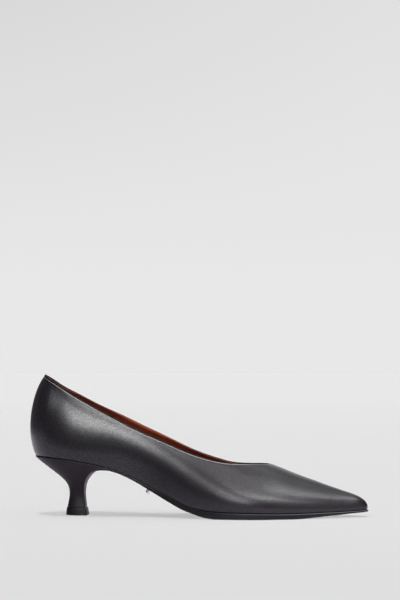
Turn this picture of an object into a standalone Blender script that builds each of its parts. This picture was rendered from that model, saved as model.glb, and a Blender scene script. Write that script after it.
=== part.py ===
"""Pointed court shoe with a low spool heel, a right shoe standing on its sole.

Frame in metres: +X to the toe, +Y to the inner side of the foot, +Z up.
The origin is on the floor, halfway between the heel back and the toe tip.
"""
import math
from collections import namedtuple

import bmesh
import bpy
import numpy as np
from mathutils import Vector

MM = 0.001

# Driving sizes
LENGTH = 264.4 * MM          # heel back to toe tip
BALL_WIDTH = 76 * MM         # across the ball, where upper and sole meet
HEEL_HEIGHT = 45 * MM        # floor to heel seat, about the middle of the heel
INSTEP_HEIGHT = 41.3 * MM    # floor to the throat
BACK_HEIGHT = 109.5 * MM     # floor to the topline, at the back
WALL = 1.8 * MM              # upper leather with its lining
GAP = 0.3 * MM               # between pieces that meet

# Places along the shoe, in per cent of its length
THROAT = 70.6                # front end of the topline
HEEL_AXIS = 12.3             # the walls of the heel fan out from here
TOE_AXIS = 94.5              # the walls of the toe fan out from here
HEEL_FRONT = 25.0            # joint between heel and outsole
AXIS_BLEND = 3.0

# The last, a row for each section from the heel back to the toe tip. Its place along the shoe is in
# per cent of the length and the rest in per cent of the ball width: half widths at the feather line on
# the outer and inner side, how far and how high the wall swells there, and the half width of its crown.
Section = namedtuple("Section", "along outer inner outer_swell inner_swell swell_height crown")
LAST = [
    Section(1.6, 0.0, 0.0, 15.1, 15.1, 28.8, 35.0),
    Section(2.7, 13.8, 13.8, 14.7, 14.7, 28.8, 35.0),
    Section(6.0, 26.5, 26.2, 13.4, 13.4, 28.2, 34.8),
    Section(11.5, 33.5, 32.9, 11.8, 11.8, 27.4, 36.0),
    Section(18.3, 34.2, 32.4, 11.4, 12.6, 26.3, 38.2),
    Section(25.8, 31.1, 27.2, 12.2, 16.0, 25.0, 40.8),
    Section(33.8, 28.7, 22.6, 13.4, 19.4, 23.7, 42.1),
    Section(41.7, 32.8, 24.8, 12.4, 19.4, 23.0, 42.1),
    Section(50.0, 41.8, 34.2, 11.2, 15.6, 22.4, 40.8),
    Section(57.5, 48.6, 43.6, 10.2, 12.4, 20.2, 38.2),
    Section(65.1, 50.8, 49.6, 9.6, 10.2, 18.2, 30.8),
    Section(71.9, 47.0, 48.6, 9.0, 8.8, 16.9, 24.3),
    Section(78.7, 38.0, 42.9, 7.8, 7.8, 14.9, 18.2),
    Section(85.5, 26.4, 34.0, 6.2, 6.2, 12.2, 12.8),
    Section(91.5, 14.9, 24.3, 4.4, 4.4, 9.5, 9.5),
    Section(96.0, 6.2, 16.8, 3.2, 3.2, 8.4, 8.6),
    Section(98.4, 1.6, 12.6, 2.6, 2.6, 8.9, 9.9),
    Section(99.4, -1.4, 9.5, 2.4, 2.4, 8.9, 10.1),
    Section(99.7, -5.4, 5.4, 2.4, 2.4, 8.9, 10.1),
]
TIP_SWING = 5.1              # how far the crest leans to the inner side at the toe, of the ball width

# Side-view lines. Places are in per cent of the length, heights in per cent of a driving height.
Height = namedtuple("Height", "along height")
SEAT_LINE = [                # top of heel and outsole, of the heel height
    Height(1.6, 104.0), Height(8.5, 101.5), Height(14.9, 96.9), Height(19.1, 92.2), Height(23.6, 85.8),
    Height(27.7, 77.6), Height(33.0, 63.8), Height(38.7, 46.9), Height(44.0, 31.6), Height(48.1, 20.7),
    Height(51.9, 15.1), Height(57.5, 12.0), Height(67.0, 10.4), Height(76.4, 9.1), Height(85.8, 9.6),
    Height(93.4, 10.4), Height(99.7, 11.8),
]
TREAD_LINE = [               # underside of the outsole, of the heel height
    Height(25.0, 79.0), Height(28.0, 73.2), Height(31.5, 63.2), Height(37.4, 43.3), Height(42.8, 25.2),
    Height(46.6, 14.0), Height(50.0, 7.3), Height(53.0, 2.1), Height(56.5, 0.0), Height(78.7, 0.0),
    Height(83.2, 1.1), Height(87.7, 3.4), Height(92.6, 5.5), Height(100.0, 8.6),
]
CREST_LINE = [               # ridge of the last, of the instep height
    Height(0.0, 324.0), Height(12.3, 275.5), Height(27.4, 221.5), Height(38.7, 184.0),
    Height(50.0, 149.0), Height(61.3, 118.2), Height(70.6, 100.0), Height(74.5, 91.4),
    Height(78.3, 81.4), Height(83.2, 70.0), Height(89.2, 56.2), Height(94.5, 44.8),
]
Rim = namedtuple("Rim", "along outer inner")
TOPLINE = [                  # edge of the opening on either side, of the back height
    Rim(0.0, 108.9, 108.9), Rim(4.9, 100.0, 99.4), Rim(8.5, 95.0, 92.6), Rim(12.3, 89.3, 87.7),
    Rim(19.1, 79.8, 79.2), Rim(26.2, 70.6, 71.5), Rim(33.4, 61.8, 63.2), Rim(40.6, 54.2, 55.1),
    Rim(47.7, 46.8, 46.8), Rim(55.1, 41.0, 40.3), Rim(59.1, 39.1, 37.7), Rim(62.5, 38.4, 36.9),
    Rim(66.2, 38.0, 37.1), Rim(70.6, 37.7, 37.7),
]

# The heel, a row for each level: back and breast edge along the shoe (of the length), their heights (of
# the heel height), the half width (of the ball width) and how far the level arches between its two edges
# (of the heel height)
Level = namedtuple("Level", "back back_height breast breast_height half_width arch", defaults=(0.0,))
HEEL = [
    Level(1.8, 100.4, 25.0, 79.0, 33.5, 6.4),
    Level(3.8, 90.9, 21.9, 79.2, 29.4, 4.4),
    Level(6.0, 80.9, 19.3, 75.5, 23.8, 2.3),
    Level(8.3, 70.7, 17.8, 67.5, 18.0, 0.8),
    Level(10.2, 60.9, 16.85, 57.8, 12.8, 0.2),
    Level(11.4, 50.7, 16.5, 47.3, 9.4),
    Level(11.8, 38.2, 16.42, 36.0, 7.6),
    Level(11.6, 26.7, 16.6, 24.9, 7.6),
    Level(11.2, 14.7, 16.75, 14.7, 8.3),
]
HEEL_TIP = [
    Level(11.15, 14.0, 16.8, 14.0, 8.8),
    Level(11.0, 12.9, 17.0, 12.9, 9.2),
    Level(10.75, 1.2, 17.4, 1.2, 9.7),
    Level(10.85, 0.0, 17.3, 0.0, 9.2),
]

# Outsole edge, insole and stud
SOLE_LIP = 0.9 * MM          # how far the outsole stands out under the forefoot
LIP_START = 40.0             # the lip grows between these places
LIP_END = 60.0
TOP_BEVEL = 1.0 * MM
BOTTOM_BEVEL = 0.8 * MM
EDGE_THINNING = 0.45         # share of the sole's edge that the bevels may take
INSOLE_THICKNESS = 1.8 * MM
INSOLE_INSET = 2.7 * MM      # from the feather line
STUD_PLACE = 36.5            # of the length
STUD_SIDE = -17 * MM
STUD_DIAMETER = 4.6 * MM
STUD_HEIGHT = 3.0 * MM
STUD_ROUNDING = 1.2 * MM
STUD_SIDES = 20
STUD_ROUNDING_STEPS = 3

# Mesh steps
WALL_LEVELS = 9
HEEL_FAN_STEPS = 8
TOE_FAN_STEPS = 7
SIDE_STEP = 5.2 * MM
THROAT_STEP = 0.3 * MM       # the columns close up behind the throat by the square of their count
THROAT_COLUMNS = 7
HEEL_LEVELS = 15
WELD = 1e-6
FIND_STEPS = 40
RIM_LOWEST = 0.3             # the topline lies above this share of the wall's section
SHARP_ANGLE = math.radians(40)

COLLECTION = "court_shoe"


class Spline:
    """Smooth cubic curve through the given values, natural or level at its ends."""

    def __init__(self, knots, values, level_ends=False):
        self.knots = np.array(knots, float)
        self.values = np.array(values, float)
        step = np.diff(self.knots)
        slope = np.diff(self.values) / step
        count = len(self.knots)
        matrix = np.zeros((count, count))
        right = np.zeros(count)
        for i in range(1, count - 1):
            matrix[i, i - 1:i + 2] = step[i - 1], 2 * (step[i - 1] + step[i]), step[i]
            right[i] = 6 * (slope[i] - slope[i - 1])
        matrix[0, 0] = matrix[-1, -1] = 1
        if level_ends:
            matrix[0, :2] = 2 * step[0], step[0]
            matrix[-1, -2:] = step[-1], 2 * step[-1]
            right[0] = 6 * slope[0]
            right[-1] = -6 * slope[-1]
        self.bend = np.linalg.solve(matrix, right)

    def _cell(self, at):
        i = int(np.clip(np.searchsorted(self.knots, at) - 1, 0, len(self.knots) - 2))
        return i, self.knots[i + 1] - self.knots[i], self.knots[i + 1] - at, at - self.knots[i]

    def __call__(self, at):
        i, step, left, right = self._cell(at)
        low, high = self.bend[i], self.bend[i + 1]
        value = ((low * left ** 3 + high * right ** 3) / (6 * step)
                 + (self.values[i] / step - low * step / 6) * left
                 + (self.values[i + 1] / step - high * step / 6) * right)
        return float(value)

    def slope(self, at):
        i, step, left, right = self._cell(at)
        low, high = self.bend[i], self.bend[i + 1]
        value = ((high * right ** 2 - low * left ** 2) / (2 * step)
                 + (self.values[i + 1] - self.values[i]) / step - (high - low) * step / 6)
        return float(value)


class LevelCurve:
    """Cubic curve that stays level between equal values and never overshoots."""

    def __init__(self, knots, values):
        self.knots = np.array(knots, float)
        self.values = np.array(values, float)
        step = np.diff(self.knots)
        slope = np.diff(self.values) / step
        self.tangents = np.concatenate(([slope[0]], np.zeros(len(step) - 1), [slope[-1]]))
        for i in range(1, len(step)):
            before, after = slope[i - 1], slope[i]
            if before * after > 0:
                self.tangents[i] = 2 * before * after / (before + after)

    def __call__(self, at):
        i = int(np.clip(np.searchsorted(self.knots, at) - 1, 0, len(self.knots) - 2))
        step = self.knots[i + 1] - self.knots[i]
        t = (at - self.knots[i]) / step
        keep = 1 - t
        value = (self.values[i] * (1 + 2 * t) * keep ** 2 + self.values[i + 1] * (3 - 2 * t) * t ** 2
                 + step * (self.tangents[i] * t * keep ** 2 - self.tangents[i + 1] * t ** 2 * keep))
        return float(value)


def place(along):
    """World X of a place given in per cent of the length."""
    return (along / 100 - 0.5) * LENGTH


def side_line(rows, size, column="height", curve=Spline):
    """Height over X of one side-view line."""
    heights = [getattr(row, column) / 100 * size for row in rows]
    return curve([place(row.along) for row in rows], heights)


seat = side_line(SEAT_LINE, HEEL_HEIGHT)
tread = side_line(TREAD_LINE, HEEL_HEIGHT, curve=LevelCurve)
crest = side_line(CREST_LINE, INSTEP_HEIGHT)
rims = {side: side_line(TOPLINE, BACK_HEIGHT, side) for side in ("outer", "inner")}


def smooth_step(value, start, end):
    share = min(1.0, max(0.0, (value - start) / (end - start)))
    return share * share * (3 - 2 * share)


def last_columns():
    """One curve for each column of the last, over the length walked along its outer feather line."""
    walked = [0.0]
    for row, following in zip(LAST, LAST[1:]):
        step_x = (following.along - row.along) / 100 * LENGTH
        step_y = (following.outer - row.outer) / 100 * BALL_WIDTH
        walked.append(walked[-1] + math.hypot(step_x, step_y))
    curves = {"x": Spline(walked, [place(row.along) for row in LAST], level_ends=True)}
    for column in Section._fields[1:]:
        curves[column] = Spline(walked, [getattr(row, column) / 100 * BALL_WIDTH for row in LAST])
    return curves, walked[-1]


last, WALK_END = last_columns()


def walk_to(x):
    """Length walked along the feather line to reach a place x."""
    low, high = 0.0, WALK_END
    for _ in range(FIND_STEPS):
        middle = (low + high) / 2
        if last["x"](middle) < x:
            low = middle
        else:
            high = middle
    return (low + high) / 2


def sign(side):
    return -1 if side == "outer" else 1


def feather(walk, side, outset=0.0):
    """Point of the feather line in plan, moved outwards by outset."""
    point = Vector((last["x"](walk), sign(side) * last[side](walk)))
    if outset:
        along = Vector((last["x"].slope(walk), sign(side) * last[side].slope(walk))).normalized()
        point += outset * sign(side) * Vector((-along.y, along.x))
    return point


def axis_point(x):
    """Plan point that the wall at x leans to: the crest, or the hub of the heel or toe fan."""
    blend = AXIS_BLEND / 100 * LENGTH
    heel, toe = place(HEEL_AXIS), place(TOE_AXIS)
    held = x
    for hub, way in ((heel, 1), (toe, -1)):
        past = way * (held - hub)
        if past < -blend:
            held = hub
        elif past < blend:
            held = hub + way * (past + blend) ** 2 / (4 * blend)
    share = max(0.0, (held - heel) / (toe - heel))
    return Vector((held, TIP_SWING / 100 * BALL_WIDTH * share ** 2))


def wall_curve(walk, side):
    """Four control points of the wall's section, from the feather line up to the crest."""
    foot = feather(walk, side)
    hub = axis_point(foot.x)
    out = foot - hub
    reach = out.length
    out.normalize()
    floor = seat(foot.x) + GAP
    shoulder = last["crown"](walk)
    swell = last[side + "_swell"](walk)
    lift = last["swell_height"](walk)
    top = crest(hub.x)
    lean = crest.slope(hub.x) * out.x * shoulder
    stations = ((reach, floor), (reach + swell, floor + lift), (shoulder, top + lean), (0.0, top))
    return [Vector((*(hub + out * r), z)) for r, z in stations]


def on_wall(controls, q):
    a, b, c, d = controls
    keep = 1 - q
    return keep ** 3 * a + 3 * keep ** 2 * q * b + 3 * keep * q ** 2 * c + q ** 3 * d


def rim_share(controls, side):
    """Share of the wall's section that lies below the topline."""
    low, high = RIM_LOWEST, 1.0
    for _ in range(FIND_STEPS):
        middle = (low + high) / 2
        point = on_wall(controls, middle)
        if point.z < rims[side](point.x):
            low = middle
        else:
            high = middle
    return low


def column_places():
    """Walked lengths of the upper's columns, from the heel back to the toe tip."""
    heel, throat, toe = place(HEEL_AXIS), place(THROAT), place(TOE_AXIS)
    near = throat - THROAT_STEP * THROAT_COLUMNS ** 2
    walks = list(np.linspace(0.0, walk_to(heel), HEEL_FAN_STEPS, endpoint=False))
    walks += [walk_to(x) for x in np.linspace(heel, near, round((near - heel) / SIDE_STEP), endpoint=False)]
    walks += [walk_to(throat - THROAT_STEP * k ** 2) for k in range(THROAT_COLUMNS, 0, -1)]
    walks += [walk_to(x) for x in np.linspace(throat, toe, round((toe - throat) / SIDE_STEP), endpoint=False)]
    walks += list(np.linspace(walk_to(toe), WALK_END, TOE_FAN_STEPS))
    return walks


def upper_column(walk, side):
    controls = wall_curve(walk, side)
    top = 1.0
    if last["x"](walk) < place(THROAT) - WELD:
        top = rim_share(controls, side)
    return [on_wall(controls, top * level / WALL_LEVELS) for level in range(WALL_LEVELS + 1)]


def finish(mesh, name):
    bmesh.ops.remove_doubles(mesh, verts=mesh.verts, dist=WELD)
    data = bpy.data.meshes.new(name)
    mesh.to_mesh(data)
    mesh.free()
    data.shade_smooth()
    data.set_sharp_from_angle(angle=SHARP_ANGLE)
    return bpy.data.objects.new(name, data)


def make_upper():
    """Wall of the upper: columns round the last, joined along the crest ahead of the throat."""
    walks = column_places()
    columns = [upper_column(walk, "outer") for walk in reversed(walks)]
    columns += [upper_column(walk, "inner") for walk in walks[1:-1]]
    mesh = bmesh.new()
    rows = [[mesh.verts.new(point) for point in column] for column in columns]
    for here, there in zip(rows, rows[1:] + rows[:1]):
        for low, high, high_next, low_next in zip(here, here[1:], there[1:], there):
            mesh.faces.new((low, high, high_next, low_next))
    upper = finish(mesh, "upper")
    wall = upper.modifiers.new("wall", "SOLIDIFY")
    wall.thickness = WALL
    wall.offset = -1
    wall.use_even_offset = True
    return upper


def stacked_solid(name, rings):
    """Closed solid through rings that run forward on the outer side and back on the inner side."""
    mesh = bmesh.new()
    loops = [[mesh.verts.new(point) for point in ring] for ring in rings]
    count = len(loops[0])
    for upper, lower in zip(loops, loops[1:]):
        for i in range(count):
            j = (i + 1) % count
            mesh.faces.new((upper[i], lower[i], lower[j], upper[j]))
    for loop, ends in ((loops[0], 1), (loops[-1], -1)):
        for i in range(count // 2 - 1):
            corners = (loop[i], loop[i + 1], loop[count - 2 - i], loop[count - 1 - i])
            mesh.faces.new(corners[::ends])
    return finish(mesh, name)


def plan_ring(walks, outset, height):
    """Ring along both feather lines, moved outwards by outset(x), at height(x)."""
    def points(side):
        flat = [feather(walk, side, outset(last["x"](walk))) for walk in walks]
        return [Vector((point.x, point.y, height(point.x))) for point in flat]
    return points("outer") + points("inner")[::-1]


def make_outsole():
    start = walk_to(place(HEEL_FRONT) + GAP)
    walks = [start] + [walk for walk in column_places() if walk > start + SIDE_STEP / 2]

    def lip(x):
        return SOLE_LIP * smooth_step(x, place(LIP_START), place(LIP_END))

    def bevel_share(x):
        return min(1.0, EDGE_THINNING * (seat(x) - tread(x)) / TOP_BEVEL)

    return stacked_solid("outsole", [
        plan_ring(walks, lambda x: lip(x) - TOP_BEVEL, seat),
        plan_ring(walks, lip, lambda x: seat(x) - TOP_BEVEL * bevel_share(x)),
        plan_ring(walks, lip, lambda x: tread(x) + BOTTOM_BEVEL * bevel_share(x)),
        plan_ring(walks, lambda x: lip(x) - BOTTOM_BEVEL, tread),
    ])


def make_insole():
    walks = column_places()
    return stacked_solid("insole", [
        plan_ring(walks, lambda x: -INSOLE_INSET, lambda x: seat(x) + GAP + INSOLE_THICKNESS),
        plan_ring(walks, lambda x: -INSOLE_INSET, lambda x: seat(x) + GAP),
    ])


def seat_walks():
    """Walked lengths of the heel seat's points, from the heel back to the joint with the outsole."""
    front = walk_to(place(HEEL_FRONT))
    return [walk for walk in column_places() if walk < front - SIDE_STEP / 3] + [front]


def level_ring(back, breast, half_width, back_height, breast_height, arch):
    """Ring of the heel seat's shape, fitted between a back and a breast edge."""
    walks = seat_walks()
    start, end = last["x"](walks[0]), last["x"](walks[-1])

    def points(side):
        widths = [last[side](walk) for walk in walks]
        ring = []
        for walk, width in zip(walks, widths):
            share = (last["x"](walk) - start) / (end - start)
            ring.append(Vector((back + (breast - back) * share,
                                sign(side) * half_width * width / max(widths),
                                back_height + (breast_height - back_height) * share
                                + 4 * arch * share * (1 - share))))
        return ring
    return points("outer") + points("inner")[::-1]


def heel_levels(rows, count):
    """Rings through the rows of a heel table, evened out over count levels."""
    read = {
        "back": lambda row: place(row.back),
        "breast": lambda row: place(row.breast),
        "half_width": lambda row: row.half_width / 100 * BALL_WIDTH,
        "back_height": lambda row: row.back_height / 100 * HEEL_HEIGHT,
        "breast_height": lambda row: row.breast_height / 100 * HEEL_HEIGHT,
        "arch": lambda row: row.arch / 100 * HEEL_HEIGHT,
    }
    order = range(len(rows))
    curves = {column: Spline(order, [value(row) for row in rows]) for column, value in read.items()}
    return [level_ring(**{column: curve(at) for column, curve in curves.items()})
            for at in np.linspace(0, len(rows) - 1, count)]


def make_heel():
    top = plan_ring(seat_walks(), lambda x: 0.0, seat)
    return stacked_solid("heel", [top] + heel_levels(HEEL, HEEL_LEVELS))


def make_heel_tip():
    return stacked_solid("heel_tip", heel_levels(HEEL_TIP, len(HEEL_TIP)))


def make_waist_stud():
    """Short peg with a rounded end, square to the underside of the waist."""
    x = place(STUD_PLACE)
    step = 1 * MM
    fall = math.atan2(tread(x + step) - tread(x - step), 2 * step)
    bpy.ops.mesh.primitive_cylinder_add(vertices=STUD_SIDES, radius=STUD_DIAMETER / 2, depth=STUD_HEIGHT)
    stud = bpy.context.object
    stud.name = stud.data.name = "waist_stud"
    stud.rotation_euler = (0.0, -fall, 0.0)
    down = Vector((math.sin(fall), 0.0, -math.cos(fall)))
    stud.location = Vector((x, STUD_SIDE, tread(x))) + down * (GAP + STUD_HEIGHT / 2)
    rim = stud.modifiers.new("rounding", "BEVEL")
    rim.width = STUD_ROUNDING
    rim.segments = STUD_ROUNDING_STEPS
    rim.limit_method = "ANGLE"
    stud.data.shade_smooth()
    stud.data.set_sharp_from_angle(angle=SHARP_ANGLE)
    return stud


def material(name, colour, roughness, metallic=0.0):
    made = bpy.data.materials.new(name)
    made.use_nodes = True
    shader = made.node_tree.nodes["Principled BSDF"]
    shader.inputs["Base Color"].default_value = (*colour, 1.0)
    shader.inputs["Roughness"].default_value = roughness
    shader.inputs["Metallic"].default_value = metallic
    return made


def main():
    for old in list(bpy.data.objects):
        bpy.data.objects.remove(old, do_unlink=True)
    collection = bpy.data.collections.new(COLLECTION)
    bpy.context.scene.collection.children.link(collection)
    base = bpy.data.objects.new("shoe", None)
    collection.objects.link(base)
    finishes = {
        "upper": material("black_leather", (0.018, 0.017, 0.020), 0.35),
        "insole": material("brown_leather", (0.24, 0.065, 0.028), 0.55),
        "outsole": material("black_sole", (0.012, 0.012, 0.014), 0.5),
        "heel": material("covered_heel", (0.018, 0.017, 0.020), 0.35),
        "heel_tip": material("black_rubber", (0.010, 0.010, 0.012), 0.6),
        "waist_stud": material("pale_metal", (0.75, 0.74, 0.72), 0.25, 1.0),
    }
    makers = (make_upper, make_insole, make_outsole, make_heel, make_heel_tip, make_waist_stud)
    for make in makers:
        piece = make()
        for holder in list(piece.users_collection):
            holder.objects.unlink(piece)
        collection.objects.link(piece)
        piece.parent = base
        piece.data.materials.append(finishes[piece.name])


main()
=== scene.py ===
import math

import bmesh
import bpy
import numpy as np
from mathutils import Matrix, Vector


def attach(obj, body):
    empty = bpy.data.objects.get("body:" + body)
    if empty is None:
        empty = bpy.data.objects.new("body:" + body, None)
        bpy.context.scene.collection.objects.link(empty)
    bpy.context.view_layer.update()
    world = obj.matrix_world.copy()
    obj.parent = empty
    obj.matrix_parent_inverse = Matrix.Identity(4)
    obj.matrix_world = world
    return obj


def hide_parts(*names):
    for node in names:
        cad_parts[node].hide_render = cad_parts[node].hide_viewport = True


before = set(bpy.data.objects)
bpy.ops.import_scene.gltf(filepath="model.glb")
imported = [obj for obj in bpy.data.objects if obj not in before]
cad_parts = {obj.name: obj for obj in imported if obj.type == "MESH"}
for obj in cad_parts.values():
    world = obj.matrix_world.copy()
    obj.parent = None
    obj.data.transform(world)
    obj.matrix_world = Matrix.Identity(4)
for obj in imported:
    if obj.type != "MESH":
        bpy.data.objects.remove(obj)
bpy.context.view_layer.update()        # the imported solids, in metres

mm = 0.001
hair = 1e-6              # metres, points closer than this are one
almostZero = 1e-12
body = "root"            # nothing on this shoe moves by itself
print("frame:", ", ".join(sorted(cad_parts)))

# Sizes of the last, the same as the solids have
shoe = {
    "length": 264.4 * mm,
    "ballWidth": 76.0 * mm,
    "heelHeight": 45.0 * mm,
    "instepHeight": 41.3 * mm,
    "backHeight": 109.5 * mm,
    "wall": 1.8 * mm,
    "gap": 0.3 * mm,
    "throat": 70.6,      # this and the next in per cent of the length
    "heelAxis": 12.3,
    "toeAxis": 94.5,
    "heelFront": 25.0,
    "axisBlend": 3.0,
    "tipSwing": 5.1,     # per cent of the ball width
}

# Sections of the last from heel back to toe tip, places in per cent of the length, the rest of the ball width
lastColumns = ("along", "outer", "inner", "outerSwell", "innerSwell", "swellHeight", "crown")
lastRows = (
    (1.6, 0.0, 0.0, 15.1, 15.1, 28.8, 35.0),
    (2.7, 13.8, 13.8, 14.7, 14.7, 28.8, 35.0),
    (6.0, 26.5, 26.2, 13.4, 13.4, 28.2, 34.8),
    (11.5, 33.5, 32.9, 11.8, 11.8, 27.4, 36.0),
    (18.3, 34.2, 32.4, 11.4, 12.6, 26.3, 38.2),
    (25.8, 31.1, 27.2, 12.2, 16.0, 25.0, 40.8),
    (33.8, 28.7, 22.6, 13.4, 19.4, 23.7, 42.1),
    (41.7, 32.8, 24.8, 12.4, 19.4, 23.0, 42.1),
    (50.0, 41.8, 34.2, 11.2, 15.6, 22.4, 40.8),
    (57.5, 48.6, 43.6, 10.2, 12.4, 20.2, 38.2),
    (65.1, 50.8, 49.6, 9.6, 10.2, 18.2, 30.8),
    (71.9, 47.0, 48.6, 9.0, 8.8, 16.9, 24.3),
    (78.7, 38.0, 42.9, 7.8, 7.8, 14.9, 18.2),
    (85.5, 26.4, 34.0, 6.2, 6.2, 12.2, 12.8),
    (91.5, 14.9, 24.3, 4.4, 4.4, 9.5, 9.5),
    (96.0, 6.2, 16.8, 3.2, 3.2, 8.4, 8.6),
    (98.4, 1.6, 12.6, 2.6, 2.6, 8.9, 9.9),
    (99.4, -1.4, 9.5, 2.4, 2.4, 8.9, 10.1),
    (99.7, -5.4, 5.4, 2.4, 2.4, 8.9, 10.1),
)
# Side-view lines: place in per cent of the length, height in per cent of one of the heights above
seatRows = ((1.6, 104.0), (8.5, 101.5), (14.9, 96.9), (19.1, 92.2), (23.6, 85.8), (27.7, 77.6), (33.0, 63.8),
            (38.7, 46.9), (44.0, 31.6), (48.1, 20.7), (51.9, 15.1), (57.5, 12.0), (67.0, 10.4), (76.4, 9.1),
            (85.8, 9.6), (93.4, 10.4), (99.7, 11.8))
treadRows = ((25.0, 79.0), (28.0, 73.2), (31.5, 63.2), (37.4, 43.3), (42.8, 25.2), (46.6, 14.0), (50.0, 7.3),
             (53.0, 2.1), (56.5, 0.0), (78.7, 0.0), (83.2, 1.1), (87.7, 3.4), (92.6, 5.5), (100.0, 8.6))
crestRows = ((0.0, 324.0), (12.3, 275.5), (27.4, 221.5), (38.7, 184.0), (50.0, 149.0), (61.3, 118.2),
             (70.6, 100.0), (74.5, 91.4), (78.3, 81.4), (83.2, 70.0), (89.2, 56.2), (94.5, 44.8))
toplineRows = (          # outer and inner edge of the opening
    (0.0, 108.9, 108.9), (4.9, 100.0, 99.4), (8.5, 95.0, 92.6), (12.3, 89.3, 87.7), (19.1, 79.8, 79.2),
    (26.2, 70.6, 71.5), (33.4, 61.8, 63.2), (40.6, 54.2, 55.1), (47.7, 46.8, 46.8), (55.1, 41.0, 40.3),
    (59.1, 39.1, 37.7), (62.5, 38.4, 36.9), (66.2, 38.0, 37.1), (70.6, 37.7, 37.7))
sideWay = {"outer": -1, "inner": 1}


def cubicThrough(knots, values, levelEnds=False):
    knots, values = np.array(knots, float), np.array(values, float)
    step = np.diff(knots)
    rise = np.diff(values) / step
    count = len(knots)
    matrix, right = np.zeros((count, count)), np.zeros(count)
    for i in range(1, count - 1):
        matrix[i, i - 1:i + 2] = step[i - 1], 2 * (step[i - 1] + step[i]), step[i]
        right[i] = 6 * (rise[i] - rise[i - 1])
    matrix[0, 0] = matrix[-1, -1] = 1
    if levelEnds:
        matrix[0, :2] = 2 * step[0], step[0]
        matrix[-1, -2:] = step[-1], 2 * step[-1]
        right[0], right[-1] = 6 * rise[0], -6 * rise[-1]
    bend = np.linalg.solve(matrix, right)

    def curve(at, slope=False):
        i = np.clip(np.searchsorted(knots, at) - 1, 0, count - 2)
        left, past = knots[i + 1] - at, at - knots[i]
        low, high, width = bend[i], bend[i + 1], step[i]
        if slope:
            return (high * past ** 2 - low * left ** 2) / (2 * width) + rise[i] - (high - low) * width / 6
        return ((low * left ** 3 + high * past ** 3) / (6 * width)
                + (values[i] / width - low * width / 6) * left
                + (values[i + 1] / width - high * width / 6) * past)
    return curve


def levelThrough(knots, values):      # never overshoots, so the tread stays flat on the floor
    knots, values = np.array(knots, float), np.array(values, float)
    step = np.diff(knots)
    rise = np.diff(values) / step
    before, after = rise[:-1], rise[1:]
    same = before * after > 0
    middle = np.where(same, 2 * before * after / np.where(same, before + after, 1), 0)
    tangent = np.concatenate(([rise[0]], middle, [rise[-1]]))

    def curve(at):
        i = np.clip(np.searchsorted(knots, at) - 1, 0, len(step) - 1)
        t = (at - knots[i]) / step[i]
        keep = 1 - t
        return (values[i] * (1 + 2 * t) * keep ** 2 + values[i + 1] * (3 - 2 * t) * t ** 2
                + step[i] * (tangent[i] * t * keep ** 2 - tangent[i + 1] * t ** 2 * keep))
    return curve


def placeAt(along):
    return (np.array(along, float) / 100 - 0.5) * shoe["length"]


def sideLine(rows, size, column=1, through=cubicThrough):
    rows = np.array(rows)
    return through(placeAt(rows[:, 0]), rows[:, column] / 100 * size)


seat = sideLine(seatRows, shoe["heelHeight"])
tread = sideLine(treadRows, shoe["heelHeight"], through=levelThrough)
crest = sideLine(crestRows, shoe["instepHeight"])
topline = {side: sideLine(toplineRows, shoe["backHeight"], i) for i, side in ((1, "outer"), (2, "inner"))}

# Every column of the last as a curve over the length walked along its outer feather line
lastTable = dict(zip(lastColumns, np.array(lastRows).T))
walkSteps = np.hypot(np.diff(lastTable["along"]) * shoe["length"],
                     np.diff(lastTable["outer"]) * shoe["ballWidth"])
walked = np.concatenate(([0.0], np.cumsum(walkSteps / 100)))
walkEnd = walked[-1]
last = {"x": cubicThrough(walked, placeAt(lastTable["along"]), levelEnds=True)}
for column in lastColumns[1:]:
    last[column] = cubicThrough(walked, lastTable[column] / 100 * shoe["ballWidth"])
fineWalk = np.linspace(0, walkEnd, num=8000)
fineX = last["x"](fineWalk)
throatX, heelHubX, toeHubX = (placeAt(shoe[key]) for key in ("throat", "heelAxis", "toeAxis"))


def walkTo(x):
    return np.interp(x, fineX, fineWalk)


def smoothStep(value, start, end):
    share = np.clip((value - start) / (end - start), 0, 1)
    return share * share * (3 - 2 * share)


def unit(vectors):
    return vectors / np.linalg.norm(vectors, axis=-1, keepdims=True)


def featherPoint(walk, side, outset=0.0):
    way = sideWay[side]
    x, y = last["x"](walk), way * last[side](walk)
    along = unit(np.stack((last["x"](walk, True), way * last[side](walk, True)), -1))
    return np.stack((x - outset * way * along[..., 1], y + outset * way * along[..., 0]), -1)


def axisPoint(x):
    blend = shoe["axisBlend"] / 100 * shoe["length"]
    held = x
    for hub, way in ((heelHubX, 1), (toeHubX, -1)):
        past = way * (held - hub)
        eased = hub + way * (past + blend) ** 2 / (4 * blend)
        held = np.where(past < -blend, hub, np.where(past < blend, eased, held))
    share = np.maximum(0, (held - heelHubX) / (toeHubX - heelHubX))
    return np.stack((held, shoe["tipSwing"] / 100 * shoe["ballWidth"] * share ** 2), -1)


# Four control points of the wall's section, from the feather line up to the crest
def wallControls(walk, side):
    foot = featherPoint(walk, side)
    hub = axisPoint(foot[:, 0])
    reach = np.linalg.norm(foot - hub, axis=1)
    out = (foot - hub) / reach[:, None]
    low = seat(foot[:, 0]) + shoe["gap"]
    top = crest(hub[:, 0])
    shoulder = last["crown"](walk)
    lean = crest(hub[:, 0], True) * out[:, 0] * shoulder
    outwards = np.stack((reach, reach + last[side + "Swell"](walk), shoulder, 0 * reach), 1)
    heights = np.stack((low, low + last["swellHeight"](walk), top + lean, top), 1)
    plan = hub[:, None, :] + out[:, None, :] * outwards[:, :, None]
    return np.concatenate((plan, heights[:, :, None]), 2)


def alongWall(controls, share):
    share = np.asarray(share, float).reshape(len(controls), -1, 1)
    a, b, c, d = (controls[:, None, i] for i in range(4))
    keep = 1 - share
    return keep ** 3 * a + 3 * keep ** 2 * share * b + 3 * keep * share ** 2 * c + share ** 3 * d


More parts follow.
